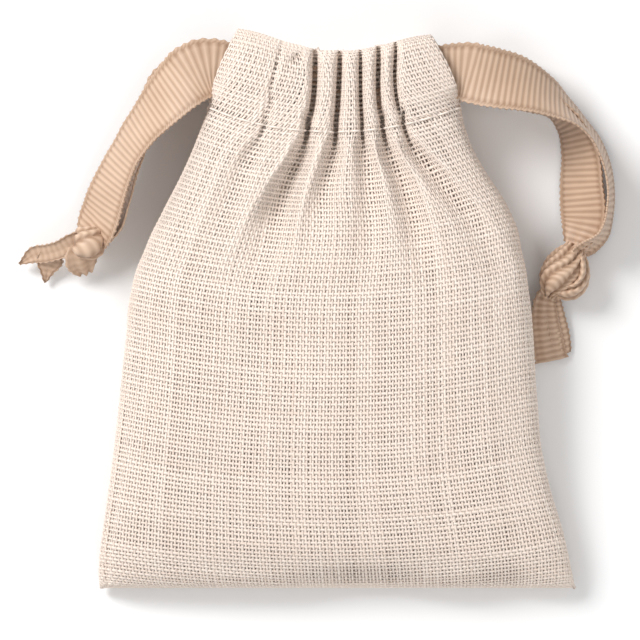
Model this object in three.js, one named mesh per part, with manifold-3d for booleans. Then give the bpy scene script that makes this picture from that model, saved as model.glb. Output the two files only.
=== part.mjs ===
// Linen drawstring pouch, 80 x 100 mm when flat, lying on its back.
// X runs to the right, Y toward the mouth and Z up from the surface.
// One linen cloth is folded at the bottom and turned in along the mouth as a ribbon channel.
// Two grosgrain ribbons run through the channel, each knotted at one side.

import * as THREE from "three";
import { mergeVertices } from "three/addons/utils/BufferGeometryUtils.js";
import Module from "manifold-3d";

const wasm = await Module();
wasm.setup();

// Driving dimensions, in millimetres
const CLOTH = 1.0;
const RIBBON = 1.0;
const STITCH_HEIGHT = 76.3;
const SIDE_RISE = 4.2;
const BACK_CHANNEL_TOP = 4.9;
const FRONT_CHANNEL_FLOOR = 10.9;
const FRONT_CHANNEL_END = 15.8;
const GATHER_CREST = 2.5;
const CHANNEL_BOW = 1.2;
const BACK_CHANNEL_SHARE = 0.93;
const BACK_EDGE_DROP = 0.8;
const HEM_BAR = 3.0;
const TUCK = 0.6;
const TUCK_LIFT = 0.25;
const FOLD_ROUNDNESS = 2.6;
const INNER_FOLD_SPREAD = 0.8;

// The body, a row for each height of the side edges above the bottom fold: the outline, the top
// of the front, the height of the side seams, how square the front is and how far the back lies flat
const BODY = [
  { y: 0.0, left: -39.9, right: 40.0, crown: 2.4, seam: 1.2, square: 4.0, flat: 0.9 },
  { y: 3.3, left: -40.1, right: 39.3, crown: 7.6, seam: 2.3, square: 3.6, flat: 0.84 },
  { y: 10.0, left: -39.4, right: 37.8, crown: 12.4, seam: 3.9, square: 3.0, flat: 0.78 },
  { y: 20.0, left: -38.0, right: 35.0, crown: 15.4, seam: 5.4, square: 2.6, flat: 0.74 },
  { y: 30.0, left: -36.8, right: 33.7, crown: 16.9, seam: 6.4, square: 2.4, flat: 0.72 },
  { y: 43.3, left: -35.4, right: 32.8, crown: 17.7, seam: 7.0, square: 2.4, flat: 0.72 },
  { y: 50.0, left: -34.6, right: 32.1, crown: 18.0, seam: 7.3, square: 2.5, flat: 0.74 },
  { y: 56.7, left: -32.4, right: 30.9, crown: 18.1, seam: 7.6, square: 2.7, flat: 0.76 },
  { y: 63.3, left: -29.3, right: 28.9, crown: 18.1, seam: 7.8, square: 3.0, flat: 0.8 },
  { y: 70.0, left: -25.9, right: 24.8, crown: 18.1, seam: 8.0, square: 3.5, flat: 0.84 },
  { y: 76.7, left: -23.1, right: 21.6, crown: 18.1, seam: 8.0, square: 4.0, flat: 0.87 },
  { y: 81.5, left: -21.3, right: 20.7, crown: 18.1, seam: 8.0, square: 4.0, flat: 0.88 },
];

// The heights of the body's rows at their middle, the last two tucked into the channels
const LOWER_ROWS = [0, 0.7, 2, 4, 7, 11, 17, 24, 32, 40, 47, 53, 58, 62.5, 66.5, 70, 73, 75];
const ROW_HEIGHTS = [...LOWER_ROWS, STITCH_HEIGHT - 0.5 * TUCK, STITCH_HEIGHT + TUCK];

// The folds, from left to right: where each runs, from the bottom to the top edge, how deep it
// is and how far its sides reach
const FOLDS = [
  [
    { y: 0, x: -27, deep: 0, wide: 5 },
    { y: 50, x: -21.5, deep: 0, wide: 4 },
    { y: 68.3, x: -16.3, deep: 0.8, wide: 2.6 },
    { y: 77.7, x: -12.0, deep: 1.2, wide: 1.8 },
    { y: 84.3, x: -10.9, deep: 1.2, wide: 1.6 },
    { y: 92, x: -8.9, deep: 0.9, wide: 1.4 },
  ],
  [
    { y: 0, x: -18, deep: 0, wide: 8 },
    { y: 44, x: -15.5, deep: 0, wide: 7 },
    { y: 58.3, x: -11.6, deep: 2.0, wide: 5 },
    { y: 67, x: -8.7, deep: 3.2, wide: 3.2 },
    { y: 76.3, x: -5.0, deep: 2.5, wide: 1.8 },
    { y: 91, x: -3.6, deep: 2.5, wide: 1.6 },
  ],
  [
    { y: 0, x: -7, deep: 0, wide: 5 },
    { y: 50, x: -5.5, deep: 0, wide: 5 },
    { y: 63.7, x: -2.9, deep: 1.2, wide: 3 },
    { y: 71.7, x: -1.0, deep: 2.2, wide: 2 },
    { y: 76.3, x: -0.3, deep: 2.5, wide: 1.7 },
    { y: 91, x: 0.5, deep: 2.5, wide: 1.6 },
  ],
  [
    { y: 0, x: 5, deep: 0, wide: 4 },
    { y: 48, x: 5.0, deep: 0, wide: 4 },
    { y: 58, x: 5.2, deep: 0.9, wide: 3 },
    { y: 67.7, x: 5.1, deep: 1.5, wide: 2.4 },
    { y: 76.3, x: 4.1, deep: 2.1, wide: 1.6 },
    { y: 91, x: 3.8, deep: 2.1, wide: 1.6 },
  ],
  [
    { y: 0, x: 20, deep: 0, wide: 5 },
    { y: 44, x: 17.5, deep: 0, wide: 5 },
    { y: 57, x: 13.7, deep: 1.5, wide: 3.4 },
    { y: 67, x: 11.1, deep: 2.2, wide: 2.6 },
    { y: 76.3, x: 7.6, deep: 2.5, wide: 1.6 },
    { y: 91, x: 6.8, deep: 2.5, wide: 1.5 },
  ],
  [
    { y: 0, x: 31, deep: 0, wide: 4 },
    { y: 46, x: 28, deep: 0, wide: 4 },
    { y: 58.3, x: 24, deep: 1.0, wide: 3.4 },
    { y: 68, x: 17.2, deep: 1.8, wide: 2.8 },
    { y: 77, x: 11.1, deep: 2.2, wide: 1.7 },
    { y: 92, x: 9.6, deep: 2.2, wide: 1.5 },
  ],
];

// Soft hollows in the front: their middle, their reach along and across, their turn and depth
const HOLLOWS = [
  { x: -24, y: 55, along: 9, across: 2.6, turn: -38, deep: 0.9 },
  { x: -11, y: 41, along: 6, across: 4, turn: -20, deep: 0.8 },
  { x: 4, y: 0.8, along: 2.0, across: 9, turn: 0, deep: 2.6 },
  { x: 28, y: 0.8, along: 2.0, across: 5, turn: 0, deep: 1.2 },
];

// The top edge of the front channel
const TOP_EDGE = [
  { x: -16.6, y: 93.8 },
  { x: -12.9, y: 93.0 },
  { x: -6.8, y: 91.1 },
  { x: 0.0, y: 90.1 },
  { x: 7.3, y: 91.0 },
  { x: 11.8, y: 92.2 },
  { x: 15.6, y: 92.8 },
];

// Where the sampled columns lie between two folds, and between an outer fold and the side edge
const BETWEEN_FOLDS = [0, 0.08, 0.24, 0.5, 0.76, 0.92];
const SIDE_STEPS = 9;
const BACK_STEPS = 20;

// The channel's section, once round from the stitching over the outer face, the top fold and the
// turned-in hem: the height up the channel and the share of its thickness, outside and inside
const CHANNEL_SECTION = [
  { up: 0.0, depth: 0.0, holeUp: 0.1, holeDepth: 0.0 },
  { up: 0.3, depth: 0.0, holeUp: 0.3, holeDepth: 0.0 },
  { up: 0.6, depth: 0.0, holeUp: 0.6, holeDepth: 0.0 },
  { up: 0.88, depth: 0.0, holeUp: 0.84, holeDepth: 0.0 },
  { up: 0.965, depth: 0.18, holeUp: 0.895, holeDepth: 0.2 },
  { up: 1.0, depth: 0.5, holeUp: 0.92, holeDepth: 0.5 },
  { up: 0.965, depth: 0.82, holeUp: 0.895, holeDepth: 0.8 },
  { up: 0.88, depth: 1.0, holeUp: 0.84, holeDepth: 1.0 },
  { up: 0.5, depth: 1.0, holeUp: 0.5, holeDepth: 1.0 },
  { up: 0.16, depth: 1.0, holeUp: 0.22, holeDepth: 1.0 },
  { up: 0.0, depth: "bar", holeUp: 0.1, holeDepth: 0.5 },
];

// The ribbons' routes: the middle of the ribbon, the direction of its width seen from above and
// its slope, in degrees, and its width
const LEFT_ROUTE = [
  { x: -41.8, y: 57.4, z: 4.2, turn: 175, tilt: -34, wide: 4.5 },
  { x: -40.9, y: 59.8, z: 5.4, turn: 172, tilt: -44, wide: 8.0 },
  { x: -39.8, y: 62.4, z: 6.4, turn: 168, tilt: -49, wide: 9.6 },
  { x: -38.6, y: 66.0, z: 7.4, turn: 162, tilt: -52, wide: 10 },
  { x: -36.7, y: 70.6, z: 8.6, turn: 156, tilt: -57, wide: 10 },
  { x: -34.2, y: 75.2, z: 9.8, turn: 144, tilt: -56, wide: 10 },
  { x: -30.0, y: 80.6, z: 11.8, turn: 128, tilt: -40, wide: 10 },
  { x: -26.0, y: 84.7, z: 13.7, turn: 107, tilt: -13, wide: 9.8 },
  { x: -23.8, y: 86.3, z: 14.1, turn: 98, tilt: -3, wide: 8.8 },
  { x: -21.0, y: 87.2, z: 14.0, turn: 93, tilt: 0, wide: 7.6 },
  { x: -14.0, y: 86.0, z: 14.0, turn: 92, tilt: 0, wide: 7.0 },
  { x: -8.0, y: 86.3, z: 14.0, turn: 92, tilt: 0, wide: 3.8 },
  { x: 0.0, y: 85.7, z: 13.35, turn: 90, tilt: 0, wide: 3.8 },
  { x: 8.0, y: 86.3, z: 12.7, turn: 88, tilt: 0, wide: 3.8 },
  { x: 14.0, y: 86.0, z: 12.7, turn: 90, tilt: 0, wide: 7.0 },
  { x: 19.5, y: 86.8, z: 12.7, turn: 90, tilt: 0, wide: 6.8 },
  { x: 21.4, y: 86.8, z: 12.5, turn: 90, tilt: 0, wide: 7.0 },
  { x: 23.2, y: 86.8, z: 10.6, turn: 90, tilt: 0, wide: 7.0 },
  { x: 23.6, y: 86.8, z: 7.9, turn: 90, tilt: 0, wide: 7.0 },
  { x: 23.2, y: 86.8, z: 5.2, turn: 90, tilt: 0, wide: 7.0 },
  { x: 21.2, y: 86.8, z: 3.4, turn: 90, tilt: 0, wide: 7.0 },
  { x: 19.0, y: 86.6, z: 3.1, turn: 90, tilt: 0, wide: 7.0 },
  { x: 14.0, y: 85.8, z: 3.1, turn: 90, tilt: 0, wide: 6.4 },
  { x: 8.0, y: 85.8, z: 3.1, turn: 88, tilt: 0, wide: 3.6 },
  { x: 0.0, y: 85.2, z: 2.45, turn: 90, tilt: 0, wide: 3.6 },
  { x: -8.0, y: 85.9, z: 1.8, turn: 92, tilt: 0, wide: 3.6 },
  { x: -14.0, y: 85.8, z: 1.8, turn: 92, tilt: 0, wide: 6.4 },
  { x: -19.6, y: 86.6, z: 1.75, turn: 96, tilt: 0, wide: 7.4 },
  { x: -24.6, y: 85.6, z: 1.7, turn: 108, tilt: -2, wide: 8.6 },
  { x: -28.4, y: 82.6, z: 3.8, turn: 124, tilt: -40, wide: 9.6 },
  { x: -31.0, y: 77.6, z: 5.4, turn: 140, tilt: -74, wide: 10 },
  { x: -32.9, y: 71.8, z: 5.6, turn: 156, tilt: -84, wide: 10 },
  { x: -34.6, y: 66.2, z: 5.5, turn: 162, tilt: -84, wide: 9.8 },
  { x: -37.0, y: 61.4, z: 5.0, turn: 160, tilt: -68, wide: 8.0 },
  { x: -40.2, y: 58.6, z: 4.2, turn: 160, tilt: -44, wide: 4.5 },
];
const RIGHT_ROUTE = [
  { x: 39.8, y: 56.0, z: 4.4, turn: 10, tilt: -60, wide: 4.5 },
  { x: 42.0, y: 57.4, z: 5.2, turn: -34, tilt: -72, wide: 7.6 },
  { x: 44.4, y: 59.6, z: 5.8, turn: -20, tilt: -80, wide: 9.4 },
  { x: 45.5, y: 64.6, z: 6.0, turn: 0, tilt: -83, wide: 10 },
  { x: 45.2, y: 69.4, z: 6.4, turn: 12, tilt: -83, wide: 10 },
  { x: 43.6, y: 74.0, z: 7.4, turn: 28, tilt: -82, wide: 10 },
  { x: 40.2, y: 78.6, z: 9.2, turn: 42, tilt: -79, wide: 10 },
  { x: 36.6, y: 81.5, z: 11.0, turn: 56, tilt: -62, wide: 10 },
  { x: 33.2, y: 83.3, z: 12.6, turn: 70, tilt: -44, wide: 10 },
  { x: 29.8, y: 84.5, z: 13.7, turn: 79, tilt: -24, wide: 10 },
  { x: 26.6, y: 85.2, z: 14.2, turn: 82, tilt: -11, wide: 10 },
  { x: 23.4, y: 85.9, z: 14.3, turn: 84, tilt: -2, wide: 9.6 },
  { x: 20.6, y: 86.5, z: 14.0, turn: 85, tilt: 0, wide: 8.0 },
  { x: 14.0, y: 85.9, z: 14.0, turn: 88, tilt: 0, wide: 7.0 },
  { x: 8.0, y: 82.0, z: 14.0, turn: 88, tilt: 0, wide: 3.8 },
  { x: 0.0, y: 81.5, z: 13.35, turn: 90, tilt: 0, wide: 3.8 },
  { x: -8.0, y: 82.0, z: 12.7, turn: 92, tilt: 0, wide: 3.8 },
  { x: -14.0, y: 85.8, z: 12.7, turn: 92, tilt: 0, wide: 7.0 },
  { x: -19.8, y: 87.2, z: 12.7, turn: 90, tilt: 0, wide: 7.0 },
  { x: -22.2, y: 87.2, z: 12.4, turn: 90, tilt: 0, wide: 7.2 },
  { x: -24.0, y: 87.2, z: 10.6, turn: 90, tilt: 0, wide: 7.2 },
  { x: -24.4, y: 87.2, z: 7.9, turn: 90, tilt: 0, wide: 7.2 },
  { x: -24.0, y: 87.2, z: 5.2, turn: 90, tilt: 0, wide: 7.2 },
  { x: -22.0, y: 87.1, z: 3.4, turn: 90, tilt: 0, wide: 7.2 },
  { x: -19.6, y: 86.8, z: 3.1, turn: 90, tilt: 0, wide: 7.0 },
  { x: -14.0, y: 85.6, z: 3.1, turn: 92, tilt: 0, wide: 6.4 },
  { x: -8.0, y: 81.7, z: 3.1, turn: 92, tilt: 0, wide: 3.6 },
  { x: 0.0, y: 81.1, z: 2.45, turn: 90, tilt: 0, wide: 3.6 },
  { x: 8.0, y: 81.7, z: 1.8, turn: 88, tilt: 0, wide: 3.6 },
  { x: 14.0, y: 85.6, z: 1.8, turn: 88, tilt: 0, wide: 6.4 },
  { x: 19.6, y: 86.2, z: 1.75, turn: 84, tilt: 0, wide: 7.4 },
  { x: 26.0, y: 85.6, z: 1.8, turn: 80, tilt: 4, wide: 8.8 },
  { x: 31.0, y: 84.2, z: 3.0, turn: 72, tilt: 28, wide: 9.4 },
  { x: 35.4, y: 81.6, z: 4.6, turn: 54, tilt: 60, wide: 10 },
  { x: 39.3, y: 77.8, z: 4.8, turn: 32, tilt: 60, wide: 10 },
  { x: 41.0, y: 72.8, z: 4.5, turn: 12, tilt: 44, wide: 10 },
  { x: 41.0, y: 67.2, z: 4.5, turn: 2, tilt: 40, wide: 10 },
  { x: 41.0, y: 61.6, z: 4.5, turn: -4, tilt: 36, wide: 9.0 },
  { x: 39.8, y: 57.6, z: 4.4, turn: -8, tilt: 20, wide: 4.5 },
];

// The free ends, from their knot to the cut
const LEFT_ENDS = [
  [
    { x: -42.0, y: 57.6, z: 4.4, turn: 105, tilt: 10, wide: 4.4 },
    { x: -46.4, y: 57.2, z: 3.9, turn: 100, tilt: 12, wide: 4.6 },
    { x: -49.6, y: 55.9, z: 2.8, turn: 112, tilt: 10, wide: 4.0 },
    { x: -53.1, y: 54.5, z: 1.4, turn: 120, tilt: 6, wide: 0.8 },
  ],
  [
    { x: -43.0, y: 57.0, z: 3.6, turn: 110, tilt: 4, wide: 4.4 },
    { x: -46.6, y: 55.4, z: 2.6, turn: 130, tilt: 4, wide: 4.6 },
    { x: -48.0, y: 53.8, z: 1.7, turn: 150, tilt: 2, wide: 3.4 },
    { x: -48.9, y: 51.4, z: 1.0, turn: 160, tilt: 0, wide: 0.8 },
  ],
  [
    { x: -41.6, y: 58.4, z: 4.6, turn: 0, tilt: -4, wide: 4.2 },
    { x: -42.0, y: 55.8, z: 4.4, turn: -4, tilt: -8, wide: 4.8 },
    { x: -42.6, y: 52.9, z: 2.4, turn: -10, tilt: -10, wide: 3.6 },
  ],
];
const RIGHT_ENDS = [
  [
    { x: 36.2, y: 51.0, z: 3.0, turn: -20, tilt: 4, wide: 4.0 },
    { x: 34.6, y: 48.2, z: 2.0, turn: -14, tilt: 4, wide: 3.6 },
    { x: 34.9, y: 44.2, z: 1.2, turn: 4, tilt: 2, wide: 5.2 },
    { x: 36.0, y: 38.4, z: 0.8, turn: 8, tilt: 0, wide: 6.0 },
  ],
  [
    { x: 36.6, y: 51.0, z: 3.6, turn: -20, tilt: 6, wide: 3.6 },
    { x: 35.6, y: 48.2, z: 3.2, turn: -10, tilt: 8, wide: 3.2 },
    { x: 36.6, y: 44.4, z: 2.8, turn: 8, tilt: -6, wide: 4.0 },
    { x: 38.0, y: 39.6, z: 2.3, turn: 12, tilt: -10, wide: 3.2 },
  ],
];

// The knots: their middle, half sizes and turn
const KNOTS = {
  left: { x: -42.0, y: 57.0, z: 3.7, long: 3.5, across: 2.9, high: 3.7, turn: 75, lumps: 0.1 },
  right: { x: 37.8, y: 52.9, z: 3.8, long: 5.5, across: 3.4, high: 3.9, turn: 58, lumps: 0.12 },
};

const LINEN = new THREE.MeshStandardMaterial({ color: 0xf2e4d2, roughness: 0.95, metalness: 0 });
const GROSGRAIN = new THREE.MeshStandardMaterial({ color: 0xcfac86, roughness: 0.7, metalness: 0 });

// Reading a table smoothly between its rows

function read(rows, column, at, by = "y") {
  const last = rows.length - 1;
  const place = THREE.MathUtils.clamp(at, rows[0][by], rows[last][by]);
  let low = 0;
  while (low < last - 1 && place > rows[low + 1][by]) low += 1;
  const slope = (row) => {
    const before = rows[Math.max(row - 1, 0)];
    const after = rows[Math.min(row + 1, last)];
    return (after[column] - before[column]) / (after[by] - before[by]);
  };
  const span = rows[low + 1][by] - rows[low][by];
  const t = (place - rows[low][by]) / span;
  const start = rows[low][column] + slope(low) * span * t;
  const end = rows[low + 1][column] - slope(low + 1) * span * (1 - t);
  return THREE.MathUtils.lerp(start, end, t * t * (3 - 2 * t));
}

// The form of the cloth

function foldDrop(x, y, inset) {
  let sum = 0;
  for (const fold of FOLDS) {
    const wide = read(fold, "wide", y) + INNER_FOLD_SPREAD * inset;
    const near = 1 - Math.abs(x - read(fold, "x", y)) / wide;
    if (near <= 0) continue;
    const arch = (1 - near ** FOLD_ROUNDNESS) ** (1 / FOLD_ROUNDNESS);
    sum += (read(fold, "deep", y) * (1 - arch)) ** 4;
  }
  return sum ** 0.25;
}

function hollowDrop(x, y) {
  let sum = 0;
  for (const hollow of HOLLOWS) {
    const turn = THREE.MathUtils.degToRad(hollow.turn);
    const across = (x - hollow.x) * Math.cos(turn) - (y - hollow.y) * Math.sin(turn);
    const along = (x - hollow.x) * Math.sin(turn) + (y - hollow.y) * Math.cos(turn);
    sum += hollow.deep * Math.exp(-((across / hollow.across) ** 2) - (along / hollow.along) ** 2);
  }
  return sum;
}

function sidePlace(x, y, inset) {
  const left = read(BODY, "left", y) + inset;
  const right = read(BODY, "right", y) - inset;
  return THREE.MathUtils.clamp((2 * x - left - right) / (right - left), -1, 1);
}

function frontHeight(x, y, inset) {
  const square = read(BODY, "square", y);
  const seam = read(BODY, "seam", y);
  const crown = Math.max(read(BODY, "crown", y) - inset, seam);
  const swell = (1 - Math.abs(sidePlace(x, y, inset)) ** square) ** (1 / square);
  const drop = foldDrop(x, y, inset) + Math.min(hollowDrop(x, y), 0.5 * (crown - seam));
  return seam + (crown - seam) * swell - drop * Math.min(1, 2 * swell);
}

function backHeight(x, y, inset) {
  const flat = read(BODY, "flat", y);
  const seam = read(BODY, "seam", y);
  const bottom = Math.min(inset, seam);
  const rise = Math.max(0, (Math.abs(sidePlace(x, y, inset)) - flat) / (1 - flat));
  return bottom + (seam - bottom) * (1 - Math.sqrt(1 - rise * rise));
}

function rowOf(middle) {
  const rise = SIDE_RISE * (middle / STITCH_HEIGHT) ** 2;
  const side = middle + rise;
  const left = read(BODY, "left", side);
  const right = read(BODY, "right", side);
  const height = (x) => middle + rise * ((2 * x - left - right) / (right - left)) ** 2;
  return { left, right, height };
}

const stitchRow = rowOf(STITCH_HEIGHT);

// Points across a row, from the left edge to the right one, close together at the folds

function frontPlaces(height, left, right) {
  const foldPlaces = FOLDS.map((fold) => {
    let y = height(0);
    for (let pass = 0; pass < 4; pass += 1) y = height(read(fold, "x", y));
    return read(fold, "x", y);
  });
  const side = (edge, fold) => {
    const places = [];
    for (let step = 0; step < SIDE_STEPS; step += 1) {
      const share = 1 - Math.cos((step / SIDE_STEPS) * (Math.PI / 2));
      places.push(THREE.MathUtils.lerp(edge, fold, share));
    }
    return places;
  };
  const places = side(left, foldPlaces[0]);
  for (let gap = 0; gap + 1 < foldPlaces.length; gap += 1) {
    for (const share of BETWEEN_FOLDS) {
      places.push(THREE.MathUtils.lerp(foldPlaces[gap], foldPlaces[gap + 1], share));
    }
  }
  places.push(foldPlaces[foldPlaces.length - 1]);
  places.push(...side(right, foldPlaces[foldPlaces.length - 1]).reverse());
  return places;
}

function backPlaces(left, right) {
  const places = [];
  for (let step = 1; step < BACK_STEPS; step += 1) {
    const share = 0.5 + 0.5 * Math.cos((step / BACK_STEPS) * Math.PI);
    places.push(THREE.MathUtils.lerp(left, right, share));
  }
  return places;
}

// Closed meshes from points and faces

class Skin {
  constructor() {
    this.points = [];
    this.faces = [];
  }

  add(x, y, z) {
    this.points.push(x, y, z);
    return this.points.length / 3 - 1;
  }

  quad(a, b, c, d) {
    this.faces.push(a, b, c, a, c, d);
  }

  // joins two rings of equal length
  band(first, second, turned = false) {
    for (let k = 0; k < first.length; k += 1) {
      const next = (k + 1) % first.length;
      if (turned) this.quad(first[next], first[k], second[k], second[next]);
      else this.quad(first[k], first[next], second[next], second[k]);
    }
  }

  // joins two open chains of unequal length that run the same way
  zip(first, second, turned = false) {
    let a = 0;
    let b = 0;
    while (a + 1 < first.length || b + 1 < second.length) {
      const shareA = (a + 1) / (first.length - 1);
      const shareB = (b + 1) / (second.length - 1);
      const stepA = b + 1 >= second.length || (a + 1 < first.length && shareA <= shareB);
      const far = stepA ? first[a + 1] : second[b + 1];
      const open = new Set([first[a], second[b], far]).size === 3;
      if (open && turned) this.faces.push(second[b], first[a], far);
      if (open && !turned) this.faces.push(first[a], second[b], far);
      if (stepA) a += 1;
      else b += 1;
    }
  }

  solid() {
    let geometry = new THREE.BufferGeometry();
    geometry.setAttribute("position", new THREE.Float32BufferAttribute(this.points, 3));
    geometry.setIndex(this.faces);
    geometry = mergeVertices(geometry, 1e-5);
    return new wasm.Manifold(
      new wasm.Mesh({
        numProp: 3,
        vertProperties: geometry.attributes.position.array,
        triVerts: new Uint32Array(geometry.index.array),
      }),
    );
  }
}

// The body: an outer and an inner skin, open at the stitch line

function bodySolid() {
  const skin = new Skin();

  const ringAt = (middle, inset) => {
    const row = rowOf(middle);
    const lift = middle > STITCH_HEIGHT - TUCK ? TUCK_LIFT : 0;
    const ring = [];
    const left = row.left + inset;
    const right = row.right - inset;
    for (const x of frontPlaces(row.height, left, right)) {
      const y = row.height(x);
      ring.push(skin.add(x, y, frontHeight(x, y, inset)));
    }
    for (const x of backPlaces(left, right)) {
      const y = row.height(x);
      ring.push(skin.add(x, y, backHeight(x, y, inset) + lift));
    }
    return ring;
  };

  const rings = (inset, floor) => {
    const heights = ROW_HEIGHTS.filter((height) => height > floor);
    return heights.map((height) => ringAt(height, inset));
  };

  const close = (ring, turned) => {
    const frontCount = ring.length - (BACK_STEPS - 1);
    const front = ring.slice(0, frontCount);
    const back = [ring[0], ...ring.slice(frontCount).reverse(), ring[frontCount - 1]];
    skin.zip(front, back, turned);
  };

  const outer = rings(0, -1);
  const inner = rings(CLOTH, 1);
  for (let k = 0; k + 1 < outer.length; k += 1) skin.band(outer[k], outer[k + 1]);
  for (let k = 0; k + 1 < inner.length; k += 1) skin.band(inner[k], inner[k + 1], true);
  skin.band(outer[outer.length - 1], inner[inner.length - 1]);
  close(outer[0], false);
  close(inner[0], true);
  return skin.solid();
}

// A channel: the outer layer and the turned-in hem, open at both ends

function channelColumns(share, edgeDrop) {
  const topY = (x) => read(TOP_EDGE, "y", x, "x") - edgeDrop;
  const [topLeft, topRight] = [TOP_EDGE[0].x, TOP_EDGE[TOP_EDGE.length - 1].x];
  const ups = CHANNEL_SECTION.flatMap((point) => [point.up, point.holeUp]);
  const columns = new Map();
  for (const up of ups) {
    const bow = CHANNEL_BOW * Math.sin(Math.PI * up);
    const left = THREE.MathUtils.lerp(stitchRow.left, topLeft, up) - bow;
    const right = THREE.MathUtils.lerp(stitchRow.right, topRight, up) + bow;
    const height = (x) => {
      const across = (x - left) / (right - left);
      const stitchX = THREE.MathUtils.lerp(stitchRow.left, stitchRow.right, across);
      const topX = THREE.MathUtils.lerp(topLeft, topRight, across);
      return THREE.MathUtils.lerp(stitchRow.height(stitchX), topY(topX), up);
    };
    columns.set(up, { left: left * share, right: right * share, height });
  }
  return columns;
}

function channelSolid(columns, placesOf, pointOf) {
  const skin = new Skin();
  const placesAt = new Map();
  for (const [up, column] of columns) placesAt.set(up, placesOf(column));
  const count = placesAt.get(0).length;
  const outer = [];
  const hole = [];
  for (let k = 0; k < count; k += 1) {
    const outerRing = [];
    const holeRing = [];
    for (const point of CHANNEL_SECTION) {
      const x = placesAt.get(point.up)[k];
      const y = columns.get(point.up).height(x);
      outerRing.push(skin.add(x, y, pointOf(x, y, point.depth, 0)));
      const holeX = placesAt.get(point.holeUp)[k];
      const holeY = columns.get(point.holeUp).height(holeX);
      holeRing.push(skin.add(holeX, holeY, pointOf(holeX, holeY, point.holeDepth, CLOTH)));
    }
    outer.push(outerRing);
    hole.push(holeRing);
  }
  for (let k = 0; k + 1 < count; k += 1) {
    skin.band(outer[k], outer[k + 1], true);
    skin.band(hole[k], hole[k + 1]);
  }
  skin.band(hole[0], outer[0], true);
  skin.band(outer[count - 1], hole[count - 1], true);
  return skin.solid();
}

function frontChannel() {
  const half = (stitchRow.right - stitchRow.left) / 2;
  const middle = (stitchRow.right + stitchRow.left) / 2;
  const pointOf = (x, y, depth, inset) => {
    const aside = Math.min(1, Math.abs((x - middle) / half));
    const crest = FRONT_CHANNEL_END + GATHER_CREST * (1 - aside ** 6);
    const face = crest - Math.min(foldDrop(x, y, inset), crest - FRONT_CHANNEL_END) - inset;
    if (depth === "bar") return face - HEM_BAR;
    return THREE.MathUtils.lerp(face, FRONT_CHANNEL_FLOOR + inset, depth);
  };
  const placesOf = (column) => frontPlaces(column.height, column.left, column.right);
  return channelSolid(channelColumns(1, 0), placesOf, pointOf);
}

function backChannel() {
  const pointOf = (x, y, depth, inset) => {
    if (depth === "bar") return HEM_BAR;
    return THREE.MathUtils.lerp(inset, BACK_CHANNEL_TOP - inset, depth);
  };
  const placesOf = (column) => {
    return [column.right, ...backPlaces(column.left, column.right), column.left];
  };
  return channelSolid(channelColumns(BACK_CHANNEL_SHARE, BACK_EDGE_DROP), placesOf, pointOf);
}

// Ribbons

function strip(rows, steps) {
  const skin = new Skin();
  const route = new THREE.CatmullRomCurve3(
    rows.map((row) => new THREE.Vector3(row.x, row.y, row.z)),
    false,
    "centripetal",
  );
  const marks = rows.map((row, place) => ({ ...row, place }));
  const rings = [];
  for (let step = 0; step <= steps; step += 1) {
    const share = step / steps;
    const place = share * (rows.length - 1);
    const turn = THREE.MathUtils.degToRad(read(marks, "turn", place, "place"));
    const tilt = THREE.MathUtils.degToRad(read(marks, "tilt", place, "place"));
    const half = read(marks, "wide", place, "place") / 2;
    const middle = route.getPoint(share);
    const tangent = route.getTangent(share);
    const across = new THREE.Vector3(
      Math.cos(turn) * Math.cos(tilt),
      Math.sin(turn) * Math.cos(tilt),
      Math.sin(tilt),
    );
    across.addScaledVector(tangent, -across.dot(tangent)).normalize();
    const through = new THREE.Vector3().crossVectors(tangent, across);
    const corners = [
      [-half, -RIBBON / 2],
      [half, -RIBBON / 2],
      [half, RIBBON / 2],
      [-half, RIBBON / 2],
    ];
    rings.push(
      corners.map(([side, up]) => {
        const point = middle.clone().addScaledVector(across, side).addScaledVector(through, up);
        return skin.add(point.x, point.y, Math.max(point.z, 0));
      }),
    );
  }
  for (let k = 0; k + 1 < rings.length; k += 1) skin.band(rings[k], rings[k + 1]);
  const [first, last] = [rings[0], rings[rings.length - 1]];
  skin.quad(first[3], first[2], first[1], first[0]);
  skin.quad(last[0], last[1], last[2], last[3]);
  return skin.solid();
}

function knot(form) {
  const ball = new THREE.SphereGeometry(1, 16, 11);
  const turn = THREE.MathUtils.degToRad(form.turn);
  const place = ball.attributes.position;
  for (let k = 0; k < place.count; k += 1) {
    const point = new THREE.Vector3().fromBufferAttribute(place, k);
    const lump = 1 + form.lumps * Math.sin(5 * point.x + 3 * point.z) * Math.cos(4 * point.y);
    const along = point.x * form.long * lump;
    const across = point.y * form.across * lump;
    place.setXYZ(
      k,
      form.x + along * Math.cos(turn) - across * Math.sin(turn),
      form.y + along * Math.sin(turn) + across * Math.cos(turn),
      Math.max(0, form.z + point.z * form.high * lump),
    );
  }
  ball.deleteAttribute("normal");
  ball.deleteAttribute("uv");
  const merged = mergeVertices(ball, 1e-4);
  return new wasm.Manifold(
    new wasm.Mesh({
      numProp: 3,
      vertProperties: merged.attributes.position.array,
      triVerts: new Uint32Array(merged.index.array),
    }),
  );
}

function ribbonSolid(route, ends, knotForm) {
  let solid = strip(route, 4 * (route.length - 1));
  for (const end of ends) solid = solid.add(strip(end, 3 * (end.length - 1)));
  return solid.add(knot(knotForm));
}

// Named meshes

function meshOf(solid, name, material) {
  const { vertProperties, triVerts } = solid.getMesh();
  const geometry = new THREE.BufferGeometry();
  geometry.setAttribute("position", new THREE.Float32BufferAttribute(vertProperties, 3));
  geometry.setIndex(new THREE.Uint32BufferAttribute(triVerts, 1));
  geometry.computeVertexNormals();
  const mesh = new THREE.Mesh(geometry, material);
  mesh.name = name;
  return mesh;
}

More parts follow.
